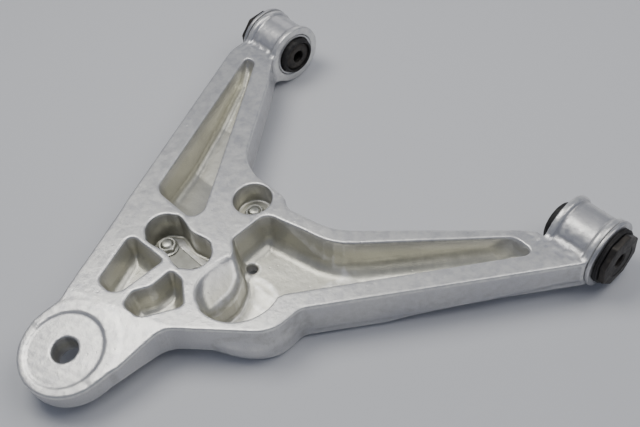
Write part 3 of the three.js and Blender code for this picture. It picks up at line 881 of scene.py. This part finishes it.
# ---------------------------------------------------------------- materials
class Nodes:
    """A material's node tree, with a short call for each kind of node used here."""

    def __init__(self, name, metallic):
        self.material = bpy.data.materials.new(name)
        self.material.use_nodes = True
        self.tree = self.material.node_tree
        self.shader = self.tree.nodes["Principled BSDF"]
        self.shader.inputs["Metallic"].default_value = metallic
        self.place = self.tree.nodes.new("ShaderNodeTexCoord").outputs["Object"]

    def node(self, kind, **settings):
        made = self.tree.nodes.new(kind)
        for key, value in settings.items():
            setattr(made, key, value)
        return made

    def feed(self, socket, value):
        if isinstance(value, bpy.types.NodeSocket):
            self.tree.links.new(value, socket)
        else:
            socket.default_value = value

    def noise(self, size_mm, detail=2.0, distortion=0.0):
        made = self.node("ShaderNodeTexNoise")
        self.feed(made.inputs["Vector"], self.place)
        made.inputs["Scale"].default_value = 1.0 / (size_mm * MM)
        made.inputs["Detail"].default_value = detail
        made.inputs["Distortion"].default_value = distortion
        return made.outputs["Fac"]

    def cells(self, size_mm):
        made = self.node("ShaderNodeTexVoronoi")
        self.feed(made.inputs["Vector"], self.place)
        made.inputs["Scale"].default_value = 1.0 / (size_mm * MM)
        return made.outputs["Distance"]

    def attribute(self, name):
        return self.node("ShaderNodeAttribute", attribute_name=name).outputs["Fac"]

    def ramp(self, value, low, high, start=0.0, end=1.0):
        made = self.node("ShaderNodeMapRange")
        settings = {"Value": value, "From Min": low, "From Max": high, "To Min": start, "To Max": end}
        for key, item in settings.items():
            self.feed(made.inputs[key], item)
        return made.outputs["Result"]

    def math(self, operation, a, b):
        made = self.node("ShaderNodeMath", operation=operation)
        self.feed(made.inputs[0], a)
        self.feed(made.inputs[1], b)
        return made.outputs[0]

    def mix(self, share, a, b):
        made = self.node("ShaderNodeMix", data_type="RGBA")
        self.feed(made.inputs["Factor"], share)
        for socket, value in ((made.inputs[6], a), (made.inputs[7], b)):
            self.feed(socket, value if isinstance(value, bpy.types.NodeSocket) else (*value, 1.0))
        return made.outputs[2]

    def bump(self, height, depth_mm, before=None):
        made = self.node("ShaderNodeBump")
        made.inputs["Distance"].default_value = depth_mm * MM
        self.feed(made.inputs["Height"], height)
        if before is not None:
            self.feed(made.inputs["Normal"], before)
        return made.outputs["Normal"]

    def finish(self, color, roughness, normal):
        self.feed(self.shader.inputs["Base Color"], color)
        self.feed(self.shader.inputs["Roughness"], roughness)
        self.feed(self.shader.inputs["Normal"], normal)
        return self.material


def cast_paint():
    """Silver paint over a sand-cast skin: painted warm bounce light in the pockets, convex edges
    lighter as wear and painted highlight, concave creases darker as grime and painted shade.
    """
    # third colour: painted warm bounce light for the pockets; next line: edge colour partly a painted
    # highlight, crease colour partly painted shade
    cool, neutral, warm_tone = (0.60, 0.60, 0.625), (0.66, 0.655, 0.655), (0.60, 0.59, 0.51)
    fleck, edge_wear_and_highlight, darker_tone = (0.40, 0.40, 0.39), (0.80, 0.795, 0.77), (0.30, 0.295, 0.26)
    nodes = Nodes("silver_paint_on_casting", 0.72)
    color = nodes.mix(nodes.ramp(nodes.noise(60, 3), 0.35, 0.65), cool, neutral)
    # painted warm bounce light: the paint turns warmer with depth in the pockets
    color = nodes.mix(nodes.ramp(nodes.attribute("pocket_depth"), 0.05, 0.9), color, warm_tone)
    color = nodes.mix(nodes.ramp(nodes.noise(0.9, 2), 0.45, 0.75, 0.0, 0.35), color, fleck)
    bend = nodes.attribute("bend")
    scuffs = nodes.noise(6, 4)
    patchy = nodes.ramp(scuffs, 0.35, 0.6, 0.25, 1.0)
    # convex edges lighter: partly paint worn through, partly a painted highlight
    color = nodes.mix(nodes.math("MULTIPLY", nodes.ramp(bend, 0.62, 0.95), patchy), color, edge_wear_and_highlight)
    # concave creases darker: partly grime, partly painted shade
    crease_grime_and_shade = nodes.math("MULTIPLY", nodes.ramp(bend, 0.4, 0.12), nodes.ramp(scuffs, 0.3, 0.7))
    color = nodes.mix(nodes.math("MULTIPLY", crease_grime_and_shade, 0.4), color, darker_tone)
    roughness = nodes.ramp(nodes.noise(14, 4), 0.3, 0.7, 0.30, 0.38)
    normal = nodes.bump(nodes.noise(4.5, 3), 0.16)
    normal = nodes.bump(nodes.noise(1.1, 2), 0.05, normal)
    pits = nodes.ramp(nodes.cells(11), 0.10, 0.02)
    normal = nodes.bump(nodes.math("SUBTRACT", 1.0, pits), 0.12, normal)
    return nodes.finish(color, roughness, normal)


def steel_paint(name, light, dark, roughness):
    """Silver paint sprayed over turned or pressed steel."""
    darker_tone = (0.28, 0.27, 0.24)
    nodes = Nodes(name, 0.85)
    color = nodes.mix(nodes.ramp(nodes.noise(9, 4), 0.35, 0.7), light, dark)
    # fine dark specks of dirt on the painted steel
    color = nodes.mix(nodes.ramp(nodes.noise(1.2, 3), 0.62, 0.8, 0.0, 0.6), color, darker_tone)
    rough = nodes.ramp(nodes.noise(5, 3), 0.3, 0.7, roughness - 0.07, roughness + 0.08)
    normal = nodes.bump(nodes.noise(1.4, 3), 0.05)
    return nodes.finish(color, rough, normal)


def dark_steel():
    """Phosphated steel, nearly black, with brown patches and paler specks."""
    black, brown, speck = (0.035, 0.032, 0.030), (0.075, 0.066, 0.056), (0.13, 0.12, 0.105)
    nodes = Nodes("dark_phosphated_steel", 0.6)
    color = nodes.mix(nodes.ramp(nodes.noise(7, 5), 0.4, 0.72), black, brown)
    color = nodes.mix(nodes.ramp(nodes.noise(1.1, 4), 0.62, 0.8, 0.0, 0.5), color, speck)
    rough = nodes.ramp(nodes.noise(4, 3), 0.3, 0.7, 0.42, 0.6)
    return nodes.finish(color, rough, nodes.bump(nodes.noise(0.9, 3), 0.05))


def black_rubber():
    """Moulded rubber with a few paler, dusty patches and a fine matt grain."""
    nodes = Nodes("black_rubber", 0.0)
    warm_tone = nodes.ramp(nodes.noise(5, 5), 0.5, 0.75)
    color = nodes.mix(warm_tone, (0.014, 0.013, 0.013), (0.045, 0.042, 0.038))
    rough = nodes.ramp(nodes.noise(3, 3), 0.3, 0.7, 0.55, 0.75)
    normal = nodes.bump(nodes.noise(0.6, 2), 0.04, nodes.bump(nodes.noise(6, 2), 0.1))
    return nodes.finish(color, rough, normal)


def floor_paper():
    nodes = Nodes("floor_paper", 0.0)
    color = nodes.mix(nodes.noise(900, 2), (0.64, 0.65, 0.68), (0.70, 0.71, 0.73))
    return nodes.finish(color, 0.85, nodes.bump(nodes.noise(1.5, 2), 0.02))


# ---------------------------------------------------------------- stage, light and camera
CAMERA_EYE = ARM_ORIGIN + Vector((616.3, -468.7, 661.0)) * MM
CAMERA_TARGET = ARM_ORIGIN + Vector((180.9, -136.6, 14.0)) * MM
CAMERA_ROLL = math.radians(-8.4)
CAMERA_LENS = 55.35
FLOOR_REACH = 6.0                                        # metres, as the lights' places and sizes
SKY_COLOR, SKY_STRENGTH = (0.55, 0.60, 0.76, 1), 0.32
LIGHTS = {                                               # place, size, power, colour
    "overhead_softbox": ((-0.45, -0.04, 1.15), 0.7, 7, (1.0, 0.98, 0.92)),
    "left_softbox": ((-0.9, 1.3, 0.7), 0.9, 1.5, (1.0, 0.98, 0.94)),
    "right_softbox": ((0.46, 0.52, 1.15), 1.0, 6, (1.0, 0.98, 0.94)),
}


def build_camera():
    camera = bpy.data.cameras.new("camera")
    camera.lens = CAMERA_LENS
    camera.clip_start = 0.02
    obj = bpy.data.objects.new("camera", camera)
    back = (CAMERA_EYE - CAMERA_TARGET).normalized()
    turn = back.to_track_quat("Z", "Y").to_matrix() @ Matrix.Rotation(CAMERA_ROLL, 3, "Z")
    obj.matrix_world = Matrix.Translation(CAMERA_EYE) @ turn.to_4x4()
    bpy.context.scene.collection.objects.link(obj)
    bpy.context.scene.camera = obj


def build_floor():
    mesh = bpy.data.meshes.new("floor")
    signs = ((-1, -1), (1, -1), (1, 1), (-1, 1))
    corners = [(x * FLOOR_REACH, y * FLOOR_REACH, 0) for x, y in signs]
    mesh.from_pydata(corners, [], [(0, 1, 2, 3)])
    floor = bpy.data.objects.new("floor", mesh)
    bpy.context.scene.collection.objects.link(floor)
    floor.data.materials.append(floor_paper())


def add_light(name, location, size, power, color):
    """A round soft light that points at the frame's origin."""
    light = bpy.data.lights.new(name, "AREA")
    light.shape = "DISK"
    light.size = size
    light.energy = power
    light.color = color
    obj = bpy.data.objects.new(name, light)
    obj.location = location
    obj.rotation_euler = (-Vector(location)).to_track_quat("-Z", "Y").to_euler()
    bpy.context.scene.collection.objects.link(obj)


def build_world():
    world = bpy.data.worlds.new("studio")
    world.use_nodes = True
    background = world.node_tree.nodes["Background"]
    background.inputs["Color"].default_value = SKY_COLOR
    background.inputs["Strength"].default_value = SKY_STRENGTH
    bpy.context.scene.world = world


build_camera()
build_floor()
build_world()
for light_name, settings in LIGHTS.items():
    add_light(light_name, *settings)

finishes = {
    "can": steel_paint("silver_paint_on_can", (0.62, 0.62, 0.63), (0.50, 0.50, 0.49), 0.36),
    "plate": steel_paint("silver_paint_on_plate", (0.36, 0.36, 0.33), (0.27, 0.27, 0.24), 0.42),
    "fastener": steel_paint("silver_paint_on_fasteners", (0.62, 0.62, 0.57), (0.45, 0.45, 0.40),
                            0.34),
    "dark": dark_steel(),
    "rubber": black_rubber(),
}
build_casting(cast_paint())
build_bushes(finishes)
build_fasteners(finishes)
